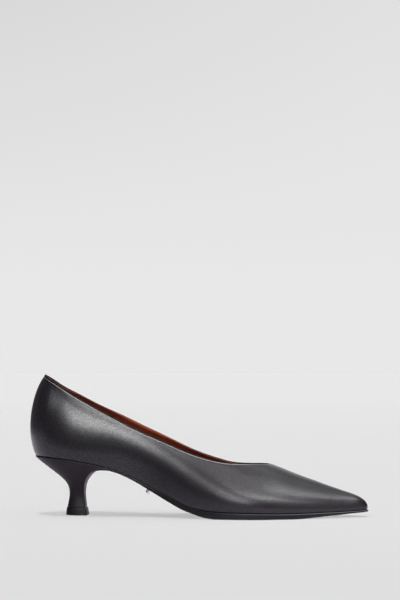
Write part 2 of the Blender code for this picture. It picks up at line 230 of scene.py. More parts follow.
def upWall(controls, share):          # direction up the section
    share = np.asarray(share, float).reshape(len(controls), -1, 1)
    a, b, c, d = (controls[:, None, i] for i in range(4))
    keep = 1 - share
    return unit(keep ** 2 * (b - a) + 2 * keep * share * (c - b) + share ** 2 * (d - c) + almostZero)


def wallNormals(walk, side, share):
    reach = 0.05 * mm
    ahead = alongWall(wallControls(np.minimum(walk + reach, walkEnd), side), share)
    behind = alongWall(wallControls(np.maximum(walk - reach, 0), side), share)
    controls = wallControls(walk, side)
    across = np.cross(upWall(controls, share), ahead - behind) * sideWay[side]
    atCrest = np.asarray(share).reshape(len(walk), -1) > 1 - hair
    fall = crest(axisPoint(last["x"](walk))[:, 0], True)
    upright = np.stack((-fall, 0 * fall, 1 + 0 * fall), 1)[:, None, :]
    return unit(np.where(atCrest[:, :, None], upright, across))


def highestShare(walk, side, tooHigh):    # how far up each section the wall goes
    lowest, halvings = 0.3, 36
    controls = wallControls(walk, side)
    low, high = np.full(len(walk), lowest), np.ones(len(walk))
    for _ in range(halvings):
        middle = (low + high) / 2
        past = tooHigh(alongWall(controls, middle)[:, 0], side)
        low, high = np.where(past, low, middle), np.where(past, middle, high)
    return low


def columnWalks(frontX, step, throatCount, heelCount, toeCount):    # columns close up behind the throat
    closeUp = 15 * mm
    nearX = frontX - closeUp
    squares = (np.arange(throatCount, 0, -1) / throatCount) ** 2
    return np.concatenate((
        np.linspace(0, walkTo(heelHubX), heelCount, endpoint=False),
        walkTo(np.linspace(heelHubX, nearX, round((nearX - heelHubX) / step), endpoint=False)),
        walkTo(frontX - closeUp * squares),
        walkTo(np.linspace(frontX, toeHubX, round((toeHubX - frontX) / step), endpoint=False)),
        np.linspace(walkTo(toeHubX), walkEnd, toeCount)))


def overTopline(points, side):
    return points[:, 2] > topline[side](points[:, 0])


rimWalks = columnWalks(throatX, step=0.6 * mm, throatCount=60, heelCount=70, toeCount=4)
rimWalks = rimWalks[last["x"](rimWalks) < throatX - hair]
rimPoints = np.concatenate([
    alongWall(wallControls(rimWalks, side), highestShare(rimWalks, side, overTopline))[:, 0]
    for side in sideWay] + [np.array([[throatX, axisPoint(throatX)[1], crest(throatX)]])])


# Columns round the shoe, from the toe tip along the outer side to the heel and back on the inner side, up to
# an edge that keeps its distance from the topline, more by (depth, from, to) at the heel back
def wallColumns(clearance, step, rows, backDrop=(0.0, 0.0, 1.0)):
    frontX = throatX + clearance * math.cos(math.atan(crest(throatX, True)))
    walks = columnWalks(frontX, step, throatCount=22, heelCount=40, toeCount=26)
    behind = last["x"](walks) < frontX - hair
    depth, dropFrom, dropTo = backDrop

    def tooHigh(points, side):
        if clearance == 0:
            return overTopline(points, side)
        offset = points[:, None, :] - rimPoints[None]
        fromBack = points[:, 0] - rimPoints[:, 0].min()
        wanted = clearance + depth * (1 - smoothStep(fromBack, dropFrom, dropTo))
        near = np.sqrt((offset ** 2).sum(2).min(1)) < wanted
        return near | (overTopline(points, side) & (points[:, 0] <= throatX))

    sides = {}
    for side in sideWay:
        top = np.where(behind, highestShare(walks, side, tooHigh), 1.0)
        share = top[:, None] * rows[None, :]
        controls = wallControls(walks, side)
        sides[side] = (alongWall(controls, share), wallNormals(walks, side, share), upWall(controls, share))
    bothSides = zip(sides["outer"], sides["inner"])
    points, normals, upwards = (np.concatenate((outer[::-1], inner[1:-1])) for outer, inner in bothSides)
    count = len(walks)
    atThroat = int(np.argmin(np.abs(last["x"](walks) - frontX)))
    first, final = count - 1 - atThroat, count - 1 + atThroat      # the throat's column on either side
    edge = points[:, -1]
    around = np.roll(edge, -1, 0) - np.roll(edge, 1, 0)
    around[first] = around[final] = edge[first + 1] - edge[final - 1]
    around = unit(around + almostZero)
    inwards = unit(np.cross(around, normals[:, -1]))               # from the edge towards the opening
    return {"points": points, "normals": normals, "upwards": upwards, "inwards": inwards,
            "edgeFrom": first, "edgeTo": final}


def meshObject(name, points, faces, smoothAngle=50):
    mesh = bpy.data.meshes.new(name)
    mesh.from_pydata([tuple(p) for p in points], [], [tuple(int(i) for i in f) for f in faces])
    work = bmesh.new()
    work.from_mesh(mesh)
    bmesh.ops.remove_doubles(work, verts=work.verts, dist=hair)
    bmesh.ops.delete(work, geom=[v for v in work.verts if not v.link_faces], context="VERTS")
    bmesh.ops.recalc_face_normals(work, faces=work.faces)
    work.to_mesh(mesh)
    work.free()
    mesh.shade_smooth()
    mesh.set_sharp_from_angle(angle=math.radians(smoothAngle))
    piece = bpy.data.objects.new(name, mesh)
    bpy.context.scene.collection.objects.link(piece)
    return piece


# Points round the shoe at one distance inside the feather line and one height over the seat
def underEdge(columns, inset, rise):
    plan = columns["points"][:, 0, :2] - inset * unit(columns["normals"][:, 0, :2])
    return np.column_stack((plan, seat(plan[:, 0]) + rise))


# Closed wall between two depths under the last's surface, with a rounded edge at the topline. Its lower edge
# is hollow, or turned under along rows of (inset, rise).
def wallShell(name, columns, outside, inside, hollow=0.0, turnedUnder=()):
    points, normals = columns["points"], columns["normals"]
    count, rows = points.shape[:2]
    half = (inside - outside) / 2
    outerWall, innerWall = points - outside * normals, points - inside * normals
    middle = (outerWall + innerWall) / 2
    turn = np.linspace(0, math.pi, num=7)[1:-1]
    topRoll = [middle[:, -1] + half * (math.cos(a) * normals[:, -1] + math.sin(a) * columns["inwards"])
               for a in turn]
    bottomRoll = [underEdge(columns, inset, rise) for inset, rise in turnedUnder] or [
        middle[:, 0] - half * math.cos(a) * normals[:, 0] + hollow * math.sin(a) * columns["upwards"][:, 0]
        for a in turn]
    rolls = [np.stack(roll, 1) for roll in (topRoll, bottomRoll)]
    section = np.concatenate((outerWall, rolls[0], innerWall[:, ::-1], rolls[1]), 1)
    size = section.shape[1]
    rollRows = range(rows - 1, rows + len(turn))
    faces = []
    for j in range(count):
        k = (j + 1) % count
        onEdge = columns["edgeFrom"] <= j < columns["edgeTo"]
        for i in range(size):
            if i in rollRows and not onEdge:
                continue
            n = (i + 1) % size
            faces.append((j * size + i, j * size + n, k * size + n, k * size + i))
    return meshObject(name, section.reshape(-1, 3), faces)


# Closed tube swept round the topline. A section's rows are (along the normal, towards the opening), and there
# is one section for all points, or one for each.
def sweepEdge(name, base, normals, inwards, section):
    section = np.array(section)
    section = section if section.ndim == 3 else section[None]
    rings = base[:, None] + section[:, :, :1] * normals[:, None] + section[:, :, 1:] * inwards[:, None]
    count, size = rings.shape[:2]
    faces = []
    for j in range(count):
        here, there = j * size, (j + 1) % count * size
        for i in range(size):
            n = (i + 1) % size
            faces.append((here + i, here + n, there + n, there + i))
    return meshObject(name, rings.reshape(-1, 3), faces)


# Closed solid through rings that run forward on the outer side and back on the inner side
def stackRings(name, rings, capSteps, crown=0.0, smoothAngle=50):
    crownWidth = 20 * mm           # the crown is lower where the cap is narrower than this
    rings = np.array(rings)
    levels, count = rings.shape[:2]
    points = list(rings.reshape(-1, 3))
    faces = []
    for level in range(levels - 1):
        here, below = level * count, (level + 1) * count
        for i in range(count):
            j = (i + 1) % count
            faces.append((here + i, below + i, below + j, here + j))
    for level, ring in ((0, rings[0]), (levels - 1, rings[-1])):
        rows = []
        for i in range(count // 2):
            across = count - 1 - i
            row = [level * count + i]
            for step in range(1, capSteps):
                share = step / capSteps
                middle = ring[i] * (1 - share) + ring[across] * share
                if level == 0:
                    width = np.linalg.norm(ring[i] - ring[across])
                    middle[2] += crown * 4 * share * (1 - share) * min(1.0, width / crownWidth)
                points.append(middle)
                row.append(len(points) - 1)
            rows.append(row + [level * count + across])
        for here, there in zip(rows, rows[1:]):
            for a, b, c, d in zip(here, there, there[1:], here[1:]):
                faces.append((a, b, c, d))
    return meshObject(name, points, faces, smoothAngle=smoothAngle)


shoePieces = []


def dress(piece, material, replaced=None):
    shoePieces.append(piece)
    piece.data.materials.clear()
    piece.data.materials.append(material)
    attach(piece, body)
    if replaced:
        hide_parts(replaced)
    print(f"{piece.name}: {len(piece.data.polygons)} faces")
    return piece


# Finishes
def newMaterial(name, colour, roughness, sockets):
    material = bpy.data.materials.new(name)
    material.use_nodes = True
    shader = material.node_tree.nodes["Principled BSDF"]
    for socket, value in {"Base Color": (*colour, 1), "Roughness": roughness, **sockets}.items():
        shader.inputs[socket].default_value = value
    return material, material.node_tree, shader


def addNode(tree, kind, inputs=None, **values):
    node = tree.nodes.new(kind)
    for name, value in values.items():
        setattr(node, name, value)
    for name, value in (inputs or {}).items():
        if isinstance(value, bpy.types.NodeSocket):
            tree.links.new(value, node.inputs[name])
        else:
            node.inputs[name].default_value = value
    return node


def objectPlace(tree):
    return addNode(tree, "ShaderNodeTexCoord").outputs["Object"]


def noiseOn(tree, place, scale, detail=2.0, roughness=0.5):
    wanted = {"Vector": place, "Scale": scale, "Detail": detail, "Roughness": roughness}
    return addNode(tree, "ShaderNodeTexNoise", wanted).outputs["Fac"]


def cellsOn(tree, place, scale, feature="F1"):
    wanted = {"Vector": place, "Scale": scale}
    return addNode(tree, "ShaderNodeTexVoronoi", wanted, feature=feature).outputs["Distance"]


def toRange(tree, value, low, high, fromLow=0.3, fromHigh=0.7):
    wanted = {"Value": value, "From Min": fromLow, "From Max": fromHigh, "To Min": low, "To Max": high}
    return addNode(tree, "ShaderNodeMapRange", wanted).outputs["Result"]


def multiply(tree, first, second):
    return addNode(tree, "ShaderNodeMath", {0: first, 1: second}, operation="MULTIPLY").outputs[0]


def alongShoe(tree, place):        # the place's X, from heel to toe
    return addNode(tree, "ShaderNodeSeparateXYZ", {0: place}).outputs["X"]


def roughnessOn(tree, place, settings, detail):
    middle, spread = settings["roughness"], settings["spread"]
    noise = noiseOn(tree, place, settings["glossScale"], detail)
    return toRange(tree, noise, middle - spread, middle + spread)


def mixColours(tree, share, first, second):
    node = addNode(tree, "ShaderNodeMix", data_type="RGBA")
    tree.links.new(share, node.inputs[0])
    for socket, colour in ((node.inputs[6], first), (node.inputs[7], second)):
        socket.default_value = (*colour, 1)
    return node.outputs[2]


def addBumps(tree, shader, heights):      # rows of (height, strength, depth in metres)
    normal = None
    for height, strength, depth in heights:
        wanted = {"Height": height, "Strength": strength, "Distance": depth}
        if normal:
            wanted["Normal"] = normal
        normal = addNode(tree, "ShaderNodeBump", wanted).outputs["Normal"]
    tree.links.new(normal, shader.inputs["Normal"])


def blackLeather(name, settings):
    material, tree, shader = newMaterial(name, settings["colour"], settings["roughness"], {
        "Specular IOR Level": settings["specular"], "Coat Roughness": settings["coatRoughness"]})
    place = objectPlace(tree)
    x = alongShoe(tree, place)
    cloud = noiseOn(tree, place, settings["cloudScale"], 3)
    tree.links.new(mixColours(tree, cloud, settings["colour"], settings["worn"]), shader.inputs["Base Color"])
    softer = toRange(tree, x, 0, settings["softer"], *settings["polishEnds"])
    roughness = roughnessOn(tree, place, settings, 4)
    roughness = addNode(tree, "ShaderNodeMath", {0: roughness, 1: softer}, operation="ADD").outputs[0]
    tree.links.new(roughness, shader.inputs["Roughness"])
    grain = cellsOn(tree, place, settings["grainScale"], "SMOOTH_F1")
    change = settings["grainShine"]
    shine = toRange(tree, grain, 1 + change, 1 - change, *settings["grainRange"])
    polish = toRange(tree, x, *settings["polish"], *settings["polishEnds"])
    tree.links.new(multiply(tree, shine, polish), shader.inputs["Coat Weight"])
    addBumps(tree, shader, (
        (noiseOn(tree, place, settings["swellScale"], 1), settings["swell"], settings["swellDepth"]),
        (grain, settings["grain"], settings["grainDepth"]),
        (noiseOn(tree, place, settings["poreScale"], 3), settings["pores"], settings["poreDepth"])))
    return material


upperFinish = {
    "colour": (0.0092, 0.0070, 0.0108),
    "worn": (0.0110, 0.0086, 0.0126),
    "cloudScale": 45.0,
    "roughness": 0.295,
    "spread": 0.014,
    "glossScale": 160.0,
    "softer": 0.09,             # rougher by this at the toe
    "specular": 0.10,
    "coatRoughness": 0.29,
    "polish": (0.80, 0.30),     # coat at the heel and at the toe
    "polishEnds": (-54.0 * mm, -24.0 * mm),
    "swellScale": 55.0,
    "swell": 0.12,
    "swellDepth": 0.5 * mm,
    "grainScale": 900.0,
    "grain": 0.6,
    "grainDepth": 0.06 * mm,
    "grainRange": (0.1, 0.6),   # of the cells' distance
    "grainShine": 0.32,         # how much the grain breaks the coat
    "poreScale": 3600.0,
    "pores": 0.10,
    "poreDepth": 0.03 * mm,
}
heelFinish = dict(upperFinish, colour=(0.0190, 0.0140, 0.0205), worn=(0.0210, 0.0157, 0.0225), roughness=0.46,
                  swell=0.05, grain=0.4, specular=0.05, polish=(0.14, 0.14), softer=0.0, coatRoughness=0.46)
calfBlack = blackLeather("calfBlack", upperFinish)
heelBlack = blackLeather("heelBlack", heelFinish)

liningFinish = {
    "colour": (0.27, 0.056, 0.020),
    "dark": (0.19, 0.039, 0.014),
    "cloudScale": 120.0,
    "roughness": 0.55,
    "spread": 0.06,
    "glossScale": 400.0,
    "specular": 0.2,
    "swellScale": 140.0,
    "swell": 0.15,
    "swellDepth": 0.25 * mm,
    "poreScale": 1500.0,
    "pores": 0.35,
    "poreDepth": 0.06 * mm,
}


def brownLeather(name, settings):
    material, tree, shader = newMaterial(name, settings["colour"], settings["roughness"],
                                         {"Specular IOR Level": settings["specular"]})
    place = objectPlace(tree)
    cloud = toRange(tree, noiseOn(tree, place, settings["cloudScale"], 4, 0.6), 0, 1)
    tree.links.new(mixColours(tree, cloud, settings["colour"], settings["dark"]), shader.inputs["Base Color"])
    tree.links.new(roughnessOn(tree, place, settings, 2), shader.inputs["Roughness"])
    addBumps(tree, shader, (
        (noiseOn(tree, place, settings["swellScale"], 2), settings["swell"], settings["swellDepth"]),
        (cellsOn(tree, place, settings["poreScale"]), settings["pores"], settings["poreDepth"])))
    return material


liningBrown = brownLeather("liningBrown", liningFinish)
sockBrown = brownLeather("sockBrown", dict(liningFinish, colour=(0.29, 0.068, 0.026), roughness=0.5))

soleFinish = {
    "colour": (0.0080, 0.0076, 0.0090),
    "roughness": 0.36,
    "spread": 0.07,
    "glossScale": 220.0,
    "specular": 0.13,
    "grainScale": 900.0,
    "cellScale": 0.7,           # share of the grain's scale
    "grain": 0.15,
    "grainDepth": 0.06 * mm,
    "cellDepth": 0.05 * mm,
}
tipFinish = dict(soleFinish, colour=(0.0096, 0.0088, 0.0104), roughness=0.45, specular=0.1, grainScale=1400.0)
edgeFinish = dict(soleFinish, colour=(0.0070, 0.0068, 0.0078), roughness=0.6, specular=0.08,
                  grainScale=1800.0)
# pale grey on the black fold: a painted highlight along the topline's fold
foldHighlightFinish = dict(edgeFinish, colour=(0.48, 0.47, 0.47), specular=0.3)
# painted highlight on the sole's top rounding: black at the heel end, grey towards the toe
highlightLineFinish = dict(soleFinish, toeHighlightColour=(0.13, 0.13, 0.135), toeEnds=(15 * mm, 90 * mm), roughness=0.5)


def blackResin(name, settings):
    material, tree, shader = newMaterial(name, settings["colour"], settings["roughness"],
                                         {"Specular IOR Level": settings["specular"]})
    place = objectPlace(tree)
    if "toeHighlightColour" in settings:      # painted highlight that gets lighter towards the toe
        share = toRange(tree, alongShoe(tree, place), 0, 1, *settings["toeEnds"])
        colour = mixColours(tree, share, settings["colour"], settings["toeHighlightColour"])
        tree.links.new(colour, shader.inputs["Base Color"])
    tree.links.new(roughnessOn(tree, place, settings, 4), shader.inputs["Roughness"])
    cells = cellsOn(tree, place, settings["grainScale"] * settings["cellScale"])
    addBumps(tree, shader, (
        (noiseOn(tree, place, settings["grainScale"], 3), settings["grain"], settings["grainDepth"]),
        (cells, settings["grain"], settings["cellDepth"])))
    return material


soleBlack = blackResin("soleBlack", soleFinish)
tipBlack = blackResin("tipBlack", tipFinish)
edgeBlack = blackResin("edgeBlack", edgeFinish)
foldHighlightGrey = blackResin("foldHighlightGrey", foldHighlightFinish)
soleHighlightGrey = blackResin("soleHighlightGrey", highlightLineFinish)

studFinish = {
    "colour": (0.56, 0.55, 0.53),
    "roughness": 0.23,
    "spread": 0.07,
    "glossScale": 900.0,
    "grainScale": 2500.0,
    "grain": 0.08,
    "grainDepth": 0.02 * mm,
}


def paleMetal(name, settings):
    material, tree, shader = newMaterial(name, settings["colour"], settings["roughness"], {"Metallic": 1.0})
    place = objectPlace(tree)
    tree.links.new(roughnessOn(tree, place, settings, 3), shader.inputs["Roughness"])
    addBumps(tree, shader, (
        (noiseOn(tree, place, settings["grainScale"], 2), settings["grain"], settings["grainDepth"]),))
    return material


studMetal = paleMetal("studMetal", studFinish)
print("finishes:", len(bpy.data.materials))

# Upper: leather outside, lining inside and a narrow beading that stands out between them along the topline
upperSizes = {
    "leather": 1.05 * mm,
    "foldDrop": 1.9 * mm,       # top of the leather's fold under the topline
    "beadDrop": 0.5 * mm,       # top of the beading under it
    "beadThickness": 1.0 * mm,
    "beadRecess": 0.25 * mm,
    "beadRoot": 2.5 * mm,
    "beadUpright": 0.6,         # how far it turns upright where the edge rises between these two
    "uprightOver": (0.25, 0.8),
    "beadSteps": 9,
    "liningDrop": 0.05 * mm,
    "liningBackDrop": (1.0 * mm, 8.0 * mm, 28.0 * mm),    # depth, and where it ends from the heel back
    "liningGap": 0.05 * mm,
    "liningRows": 32,
    "liningHollow": 0.5 * mm,   # of its lower edge
    "lasted": (                 # inset and rise of the leather turned under the sock
        (1.3 * mm, 0.25 * mm), (2.4 * mm, 0.2 * mm), (2.4 * mm, 0.06 * mm), (0.35 * mm, 0.06 * mm)),
    "foldRadius": 0.32 * mm,    # painted highlight along the edge of the fold
    "foldRise": 0.05 * mm,
    "foldDepth": 0.25 * mm,
    "foldFade": 0.25,           # share of the radius that is left at heel back and throat
    "foldFadeOver": 24.0 * mm,
    "foldSides": 8,
    "backRise": 0.2 * mm,       # the beading stands higher round the heel back
    "backRiseOver": (6.0 * mm, 26.0 * mm),
    "columnStep": 1.3 * mm,
    "rimStep": 0.8 * mm,
    "leatherRows": 44,
}


def edgeRows(count, edge=0.018):      # closer rows at the feather line and at the topline
    return np.concatenate(([0, edge], np.linspace(2 * edge, 1 - 2 * edge, count - 4), [1 - edge, 1]))


leatherEdge = upperSizes["foldDrop"] + upperSizes["leather"] / 2
leatherColumns = wallColumns(leatherEdge, upperSizes["columnStep"], edgeRows(upperSizes["leatherRows"]))
leatherWall = wallShell("upperLeather", leatherColumns, outside=0.0, inside=upperSizes["leather"],
                        turnedUnder=upperSizes["lasted"])
dress(leatherWall, calfBlack, "upper")

liningEdge = upperSizes["liningDrop"] + (shoe["wall"] - upperSizes["leather"]) / 2
liningColumns = wallColumns(liningEdge, upperSizes["columnStep"], edgeRows(upperSizes["liningRows"]),
                            upperSizes["liningBackDrop"])
liningWall = wallShell("lining", liningColumns, outside=upperSizes["leather"] + upperSizes["liningGap"],
                       inside=shoe["wall"], hollow=upperSizes["liningHollow"])
lining = dress(liningWall, liningBrown)

rimColumns = wallColumns(0.0, upperSizes["rimStep"], np.array((0.0, 1.0)))
rim = slice(rimColumns["edgeFrom"], rimColumns["edgeTo"])
rimNormal, rimInwards = rimColumns["normals"][rim, -1], rimColumns["inwards"][rim]
stand = upperSizes["beadUpright"] * smoothStep(rimInwards[:, 2:], *upperSizes["uprightOver"])
beadUp = unit(rimInwards * (1 - stand) + np.array((0, 0, 1)) * stand)
beadOut = unit(rimNormal - beadUp * (rimNormal * beadUp).sum(1, keepdims=True))
beadBase = rimColumns["points"][rim, -1] - upperSizes["foldDrop"] * rimInwards


def beadSection():
    outer = -upperSizes["beadRecess"]
    inner = outer - upperSizes["beadThickness"]
    radius = upperSizes["beadThickness"] / 2
    top = upperSizes["foldDrop"] - upperSizes["beadDrop"] - radius
    rows = [(outer, -upperSizes["beadRoot"]), (outer, 0.0), (outer, top / 2)]
    rows += [((outer + inner) / 2 + radius * math.cos(a), top + radius * math.sin(a))
             for a in np.linspace(0, math.pi, upperSizes["beadSteps"])]
    return rows + [(inner, top / 2), (inner, -upperSizes["beadRoot"])]


rimX = rimColumns["points"][rim, -1, :1]
fromBack, toThroat = rimX - rimX.min(), rimX.max() - rimX
foldBase = beadBase + upperSizes["foldRise"] * rimInwards
foldShare = smoothStep(np.minimum(fromBack, toThroat), 0, upperSizes["foldFadeOver"])
foldRadius = upperSizes["foldRadius"] * (upperSizes["foldFade"] + (1 - upperSizes["foldFade"]) * foldShare)
foldTurns = np.linspace(0, 2 * math.pi, upperSizes["foldSides"], endpoint=False)
foldSection = np.stack((foldRadius * np.cos(foldTurns) - upperSizes["foldDepth"],
                        foldRadius * np.sin(foldTurns)), 2)
dress(sweepEdge("foldEdge", foldBase, rimNormal, rimInwards, foldSection), foldHighlightGrey)
backRise = upperSizes["backRise"] * (1 - smoothStep(fromBack, *upperSizes["backRiseOver"]))
beading = sweepEdge("toplineBeading", beadBase + backRise * beadUp, beadOut, beadUp, beadSection())
dress(beading, edgeBlack)

# Insole board with its leather sock
sockSizes = {
    "inset": 1.95 * mm,
    "thickness": 1.8 * mm,
    "crown": 0.5 * mm,
    "rounding": 0.6 * mm,
    "underRounding": 0.2 * mm,
    "step": 1.6 * mm,
}
sockWalks = columnWalks(throatX, sockSizes["step"], throatCount=6, heelCount=30, toeCount=20)


def planRing(walks, outset, height):
    sides = []
    for side in sideWay:
        flat = featherPoint(walks, side, outset(last["x"](walks)))
        sides.append(np.column_stack((flat, height(flat[:, 0]))))
    return np.concatenate((sides[0], sides[1][::-1]))


def always(value):
    return lambda x: value + 0 * x


# Rings of a plate with rounded edges; outset, heights and radii are functions of x
def roundedRings(walks, outset, top, bottom, topRound, bottomRound, steps):
    turns = np.linspace(0, math.pi / 2, steps + 1)
    rings = [planRing(walks, lambda x, a=a: outset(x) - topRound(x) * (1 - math.sin(a)),
                      lambda x, a=a: top(x) - topRound(x) * (1 - math.cos(a))) for a in turns]
    rings += [planRing(walks, lambda x, a=a: outset(x) - bottomRound(x) * (1 - math.sin(a)),
                       lambda x, a=a: bottom(x) + bottomRound(x) * (1 - math.cos(a))) for a in turns[::-1]]
    return rings


sockRings = roundedRings(
    sockWalks, always(-sockSizes["inset"]),
    lambda x: seat(x) + shoe["gap"] + sockSizes["thickness"], lambda x: seat(x) + shoe["gap"],
    always(sockSizes["rounding"]), always(sockSizes["underRounding"]), steps=4)
sock = stackRings("sock", sockRings, capSteps=14, crown=sockSizes["crown"])
dress(sock, sockBrown, "insole")

# Outsole
soleSizes = {
    "lip": 0.9 * mm,
    "lipFrom": 40.0,     # per cent of the length
    "lipTo": 60.0,
    "topRound": 0.9 * mm,
    "bottomRound": 0.7 * mm,
    "thinning": 0.45,    # share of the edge that each rounding may take
    "highlightTilt": (0.25, 0.85),    # slope of the faces that carry the painted highlight line
    "highlightLip": 0.3 * mm,
    "step": 1.3 * mm,
}
soleStart = walkTo(placeAt(shoe["heelFront"]) + shoe["gap"])
soleWalks = columnWalks(throatX, soleSizes["step"], throatCount=8, heelCount=30, toeCount=26)
soleWalks = np.concatenate(([soleStart], soleWalks[soleWalks > soleStart + soleSizes["step"] / 2]))


def soleLip(x):
    return soleSizes["lip"] * smoothStep(x, placeAt(soleSizes["lipFrom"]), placeAt(soleSizes["lipTo"]))


def soleRound(size):
    return lambda x: np.minimum(size, soleSizes["thinning"] * (seat(x) - tread(x)))


soleRings = roundedRings(soleWalks, soleLip, seat, tread, soleRound(soleSizes["topRound"]),
                         soleRound(soleSizes["bottomRound"]), steps=5)
soleSolid = stackRings("outsoleEdge", soleRings, capSteps=8, smoothAngle=60)
outsoleEdge = dress(soleSolid, soleBlack, "outsole")
outsoleEdge.data.materials.append(soleHighlightGrey)


# faces facing partly upwards, which get the painted highlight line
def onPaintedHighlight(face):          # upper part of the rounded edge, where the sole stands out from the upper
    x, z = face.center.x, face.center.z
    low, high = soleSizes["highlightTilt"]
    upperHalf = z > (seat(x) + tread(x)) / 2
    return low < face.normal.z < high and upperHalf and soleLip(x) > soleSizes["highlightLip"]


for face in outsoleEdge.data.polygons:
    face.material_index = int(onPaintedHighlight(face))

# Heel and its tip, level by level: back and breast edge with their heights, half width, and how far the level
# arches between its two edges
heelColumns = ("back", "backHeight", "breast", "breastHeight", "halfWidth", "arch")
heelRows = (
    (1.8, 100.4, 25.0, 79.0, 33.5, 6.4),
    (3.8, 90.9, 21.9, 79.2, 29.4, 4.4),
    (6.0, 80.9, 19.3, 75.5, 23.8, 2.3),
    (8.3, 70.7, 17.8, 67.5, 18.0, 0.8),
    (10.2, 60.9, 16.85, 57.8, 12.8, 0.2),
    (11.4, 50.7, 16.5, 47.3, 9.4, 0.0),
    (11.8, 38.2, 16.42, 36.0, 7.6, 0.0),
    (11.6, 26.7, 16.6, 24.9, 7.6, 0.0),
    (11.2, 14.7, 16.75, 14.7, 8.3, 0.0),
)
tipRows = ((11.15, 14.0, 16.8, 14.0, 8.8, 0.0), (11.0, 12.9, 17.0, 12.9, 9.2, 0.0),
           (10.75, 1.2, 17.4, 1.2, 9.7, 0.0), (10.85, 0.0, 17.3, 0.0, 9.2, 0.0))
neckRows = (               # fills the seam over the tip
    (11.35, 14.67, 16.6, 14.67, 8.0, 0.0), (11.35, 14.0, 16.6, 14.0, 8.0, 0.0))
heelSizes = {
    "levels": 70,
    "tipLevels": (0, 1, 2, 2.5, 3, 3.4, 3.8, 4, 4.5, 5),    # rows of neck and tip, and places between them
    "sidePoints": 44,
    "cornerPoints": 6,
    "corner": 0.9 * mm,
    "cornerLimit": 0.2,    # share of the level's depth
    "topRound": 1.1 * mm,
    "shoulderDrop": 0.2,   # share of the rounding
    "seatMiddle": 14.0,    # per cent of the length
}
seatBackX, seatFrontX = last["x"](0.0), placeAt(shoe["heelFront"])
seatWalks = np.linspace(0, walkTo(seatFrontX), heelSizes["sidePoints"])
seatShare = (last["x"](seatWalks) - seatBackX) / (seatFrontX - seatBackX)
seatWidest = {side: last[side](seatWalks).max() for side in sideWay}


def heelRing(back, backHeight, breast, breastHeight, halfWidth, arch):
    depth = breast - back
    corner = min(heelSizes["corner"], heelSizes["cornerLimit"] * depth)
    share = seatShare * (1 - corner / depth)
    turns = np.linspace(0, math.pi / 2, heelSizes["cornerPoints"] + 1)[1:]
    sides = []
    for side, way in sideWay.items():
        walks = walkTo(seatBackX + share * (seatFrontX - seatBackX))
        width = halfWidth[side] * last[side](walks) / seatWidest[side]
        x = np.concatenate((back + depth * share, breast - corner * (1 - np.sin(turns))))
        y = way * np.concatenate((width, width[-1] - corner * (1 - np.cos(turns))))
        past = (x - back) / depth
        z = backHeight + (breastHeight - backHeight) * past + 4 * arch * past * (1 - past)
        sides.append(np.column_stack((x, y, z)))
    return np.concatenate((sides[0], sides[1][::-1]))


def straightThrough(knots, values):
    return lambda at: np.interp(at, knots, values)


def heelRings(rows, places, through):      # a ring at each place, counted in rows
    table = dict(zip(heelColumns, np.array(rows).T))
    sizes = {column: placeAt(table[column]) for column in ("back", "breast")}
    sizes["halfWidth"] = table["halfWidth"] / 100 * shoe["ballWidth"]
    for column in ("backHeight", "breastHeight", "arch"):
        sizes[column] = table[column] / 100 * shoe["heelHeight"]
    curves = {column: through(np.arange(len(rows)), sizes[column]) for column in heelColumns}
    rings = []
    for place in places:
        found = {column: float(curve(place)) for column, curve in curves.items()}
        found["halfWidth"] = dict.fromkeys(sideWay, found["halfWidth"])
        rings.append(heelRing(**found))
    return rings


levelRings = heelRings(heelRows, np.linspace(0, len(heelRows) - 1, heelSizes["levels"]), cubicThrough)
seatRing = heelRing(seatBackX, 0.0, seatFrontX, 0.0, seatWidest, 0.0)
seatRing[:, 2] = seat(seatRing[:, 0])
edgeRing, insetRing = seatRing.copy(), seatRing.copy()
edgeRing[:, 2] -= heelSizes["topRound"]
toMiddle = unit(np.array((placeAt(heelSizes["seatMiddle"]), 0.0)) - insetRing[:, :2])
insetRing[:, :2] += toMiddle * heelSizes["topRound"]
shoulderRing = (insetRing + seatRing) / 2
shoulderRing[:, 2] = seat(shoulderRing[:, 0]) - heelSizes["shoulderDrop"] * heelSizes["topRound"]
coverRings = [insetRing, shoulderRing, edgeRing] + levelRings
heelSolid = stackRings("heelCover", coverRings, capSteps=2, smoothAngle=60)
heelCover = dress(heelSolid, heelBlack, "heel")

tipRings = heelRings(neckRows + tipRows, heelSizes["tipLevels"], straightThrough)
tipSolid = stackRings("heelTip", tipRings, capSteps=2, smoothAngle=35)
heelTip = dress(tipSolid, tipBlack, "heel_tip")

# Stud under the waist: a turned profile, (radius, depth under the sole)
studSizes = {
    "place": 36.5,         # per cent of the length
    "side": -17.0 * mm,
    "radius": 2.3 * mm,
    "height": 3.0 * mm,
    "rounding": 1.1 * mm,
    "neck": 0.75,          # share of the radius
    "seam": 0.95,          # share of the gap that the neck fills
    "band": (0.35, 0.4),   # shares of the height between which the head steps in
    "head": 0.94,          # share of the radius
    "dome": 0.05 * mm,
    "roundSteps": 6,
    "sides": 40,
}


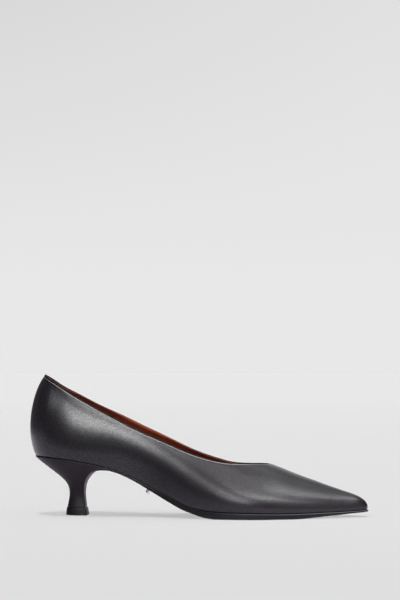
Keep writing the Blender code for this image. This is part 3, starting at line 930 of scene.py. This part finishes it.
def makeStud():
    x = float(placeAt(studSizes["place"]))
    reach = 1 * mm
    fall = math.atan2(tread(x + reach) - tread(x - reach), 2 * reach)
    along = np.array((math.cos(fall), 0, math.sin(fall)))
    down = np.array((math.sin(fall), 0, -math.cos(fall)))
    across = np.array((0.0, 1.0, 0.0))
    base = np.array((x, studSizes["side"], float(tread(x)))) + shoe["gap"] * down
    radius, height, rounding, sides = (studSizes[key] for key in ("radius", "height", "rounding", "sides"))
    neck, head, seam = studSizes["neck"] * radius, studSizes["head"] * radius, studSizes["seam"] * shoe["gap"]
    low, high = studSizes["band"]
    profile = [(0.0, -seam), (neck, -seam), (neck, 0.0)]
    profile += [(radius, 0.0), (radius, low * height), (head, high * height)]
    profile += [(head - rounding * (1 - math.cos(a)), height - rounding * (1 - math.sin(a)))
                for a in np.linspace(0, math.pi / 2, studSizes["roundSteps"])]
    profile.append((0.0, height + studSizes["dome"]))
    turns = np.linspace(0, 2 * math.pi, sides, endpoint=False)
    points = [base + r * (math.cos(t) * along + math.sin(t) * across) + d * down
              for r, d in profile for t in turns]
    faces = []
    for i in range(len(profile) - 1):
        here, below = i * sides, (i + 1) * sides
        for j in range(sides):
            k = (j + 1) % sides
            faces.append((here + j, here + k, below + k, below + j))
    return meshObject("waistStud", points, faces, smoothAngle=35)


dress(makeStud(), studMetal, "waist_stud")

# Stage: a wide pale floor, its colour painted lighter away from the shoe and painted shade in front of it, so
# that it brightens into a backdrop of the same tone at the horizon. Gloss sees a table instead, which ends in
# front of the shoe, and then a dark room with lamps.
stage = {
    "floorTone": 0.80,
    "farTone": 0.845,
    "farFrom": 0.3,      # metres from the shoe
    "farTo": 5.0,
    "frontShade": 0.90,  # painted shade, darker round a point in front of the shoe
    "frontPoint": (-0.1, -1.1, 0.0),
    "frontReach": 1.1,
    "floorSize": 60.0,
    "table": ((-0.7, -0.15), (1.5, 1.5)),
    "tableGlow": (0.9, 2.1),     # what the leather mirrors of the table, at the heel and at the toe
    "glowEnds": (-0.07, 0.05),
    "glowTint": (1.0, 0.93, 1.06),
    "matt": 0.9,
    "dome": 0.12,
    "room": 0.10,
    "roomTint": (1.0, 0.97, 1.0),
    "page": 0.806,
    "pageTop": (0.60, 0.71),     # at the left and right end of the range below
    "pageSides": (-0.22, 0.0),
    "pageFrom": 0.05,    # height of the view direction where the backdrop begins to darken
    "pageTo": 0.30,
}


def makePlane(name, corners, finish):
    (left, near), (right, back) = corners
    points = (left, near, 0), (right, near, 0), (right, back, 0), (left, back, 0)
    plane = meshObject(name, points, ((0, 1, 2, 3),))
    plane.data.materials.append(finish)
    plane.visible_glossy = name == "table"
    plane.visible_camera = plane.visible_diffuse = name == "floor"
    plane.visible_shadow = False
    return plane


def makeFloor():
    tone, mattOnly = stage["floorTone"], {"Specular IOR Level": 0.0}
    pale, tree, shader = newMaterial("paleFloor", (tone, tone, tone), stage["matt"], mattOnly)
    place, front = objectPlace(tree), stage["frontPoint"]
    fromShoe = addNode(tree, "ShaderNodeVectorMath", {0: place}, operation="LENGTH")
    fromFront = addNode(tree, "ShaderNodeVectorMath", {0: place, 1: front}, operation="DISTANCE")
    # painted light and shade: lighter further from the shoe, darker round the front point
    farRange = stage["floorTone"], stage["farTone"], stage["farFrom"], stage["farTo"]
    tones = toRange(tree, fromShoe.outputs["Value"], *farRange)
    shade = toRange(tree, fromFront.outputs["Value"], stage["frontShade"], 1, 0, stage["frontReach"])
    tree.links.new(multiply(tree, tones, shade), shader.inputs["Base Color"])
    glow, tree, shader = newMaterial("tableGlow", (0, 0, 0), stage["matt"],
                                     {**mattOnly, "Emission Color": (*stage["glowTint"], 1)})
    strength = toRange(tree, alongShoe(tree, objectPlace(tree)), *stage["tableGlow"], *stage["glowEnds"])
    tree.links.new(strength, shader.inputs["Emission Strength"])
    edge = stage["floorSize"] / 2
    return makePlane("floor", ((-edge, -edge), (edge, edge)), pale), makePlane("table", stage["table"], glow)


def makeWorld():
    world = bpy.data.worlds.new("studio")
    bpy.context.scene.world = world
    world.use_nodes = True
    tree = world.node_tree
    tree.nodes.clear()
    path = addNode(tree, "ShaderNodeLightPath").outputs
    direction = addNode(tree, "ShaderNodeTexCoord").outputs["Generated"]
    split = addNode(tree, "ShaderNodeSeparateXYZ", {0: direction})
    top = toRange(tree, split.outputs["X"], *stage["pageTop"], *stage["pageSides"])
    tone = toRange(tree, split.outputs["Z"], stage["page"], top, stage["pageFrom"], stage["pageTo"])

    def background(strength, tint=(1, 1, 1)):
        return addNode(tree, "ShaderNodeBackground", {"Color": (*tint, 1), "Strength": strength}).outputs[0]

    def mix(share, first, second):
        return addNode(tree, "ShaderNodeMixShader", {0: share, 1: first, 2: second}).outputs[0]

    room = background(stage["room"], stage["roomTint"])
    unseen = mix(path["Is Glossy Ray"], background(stage["dome"]), room)
    seen = mix(path["Is Camera Ray"], unseen, background(tone))
    addNode(tree, "ShaderNodeOutputWorld", {"Surface": seen})


# Directions from the shoe: azimuth from the camera's side towards the toe, and elevation, in degrees
lampDistance = 2.0
lampAim = Vector((0, 0, 0.06))
boxes = {          # seen by gloss alone: azimuth, elevation, size in metres, radiance
    "keyBox": (-2, 19, (0.85, 0.72), 15.5),
    "bridgeBox": (33, 41, (1.4, 0.45), 22.0),
    "overBox": (60, 66, (2.3, 0.9), 4.6),
    "toeTopBox": (80, 57, (0.8, 0.35), 13.5),
    "backTopBox": (164, 57, (1.2, 0.6), 2.6),
    "backBox": (176, 20, (1.7, 1.2), 1.4),
    "toeCard": (56, 14, (1.3, 0.9), 1.4),
    "heelCard": (-40, 28, (1.4, 0.6), 2.6),
}
suns = {           # not seen by gloss: azimuth, elevation, angle, strength, what is lit, what casts a shadow
    "floorSun": (0, 60, 5, 2.05, "stage", None),
    "overSun": (0, 76, 3, 0.55, "stage", "underside"),
    "skySun": (0, 90, 120, 0.32, "stage", "all"),
    "openingSun": (8, 72, 40, 3.0, "shoe", "all"),
    "lipSun": (0, 0.6, 1.0, 2.8, "lining", "all"),
}


def towards(azimuth, elevation):
    azimuth, elevation = math.radians(azimuth), math.radians(elevation)
    flat = math.cos(elevation)
    return Vector((math.sin(azimuth) * flat, -math.cos(azimuth) * flat, math.sin(elevation)))


def addLamp(name, kind, azimuth, elevation):
    way = towards(azimuth, elevation)
    data = bpy.data.lights.new(name, kind)
    light = bpy.data.objects.new(name, data)
    light.location = lampAim + lampDistance * way
    light.rotation_euler = (-way).to_track_quat("-Z", "Y").to_euler()
    light.visible_camera = False
    bpy.context.scene.collection.objects.link(light)
    return light, data


def gather(name, pieces):
    group = bpy.data.collections.new(name)
    for piece in pieces:
        group.objects.link(piece)
    return group


def makeLamps(groups):
    for name, (azimuth, elevation, size, radiance) in boxes.items():
        light, data = addLamp(name, "AREA", azimuth, elevation)
        data.shape = "RECTANGLE"
        data.size, data.size_y = size
        data.energy = math.pi * data.size * data.size_y * radiance
        light.visible_diffuse = False
    for name, (azimuth, elevation, angle, strength, lights, blockers) in suns.items():
        light, data = addLamp(name, "SUN", azimuth, elevation)
        data.energy, data.angle, data.use_shadow = strength, math.radians(angle), blockers is not None
        light.visible_glossy = False
        light.light_linking.receiver_collection = gather(name + "Lights", groups[lights])
        if blockers in groups:
            light.light_linking.blocker_collection = gather(name + "Blockers", groups[blockers])


floors = makeFloor()
makeWorld()
makeLamps({"stage": floors, "shoe": shoePieces, "lining": [lining],
           "underside": [outsoleEdge, heelCover, heelTip]})

# Camera: level with the shoe's side, a little towards the toe, at the photograph's distance
view = {
    "azimuth": 5.5,
    "elevation": 4.6,
    "distance": 1.45,
    "pixels": (400, 600),
    "origin": (197.9, 515.64),     # where the shoe's origin shows
    "focalPixels": 1862.0,
    "sensor": 36.0,
    "clip": (0.05, 100.0),
}


def makeCamera():
    back = towards(view["azimuth"], view["elevation"])
    azimuth = math.radians(view["azimuth"])
    right = Vector((math.cos(azimuth), math.sin(azimuth), 0))
    up = back.cross(right)
    width, height = view["pixels"]
    swing = math.atan((width / 2 - view["origin"][0]) / view["focalPixels"])
    tilt = math.asin((view["origin"][1] - height / 2) / view["focalPixels"])
    aim = -back * math.cos(tilt) + up * math.sin(tilt)
    aim = aim * math.cos(swing) + right * math.sin(swing)
    data = bpy.data.cameras.new("camera")
    data.sensor_width = view["sensor"]
    data.lens = view["focalPixels"] * math.cos(tilt) / height * view["sensor"]
    data.clip_start, data.clip_end = view["clip"]
    camera = bpy.data.objects.new("camera", data)
    camera.location = back * view["distance"]
    camera.rotation_euler = aim.to_track_quat("-Z", "Y").to_euler()
    bpy.context.scene.collection.objects.link(camera)
    bpy.context.scene.camera = camera


makeCamera()
bpy.context.scene.view_settings.view_transform = "Standard"
print("stage, lamps and camera are set")
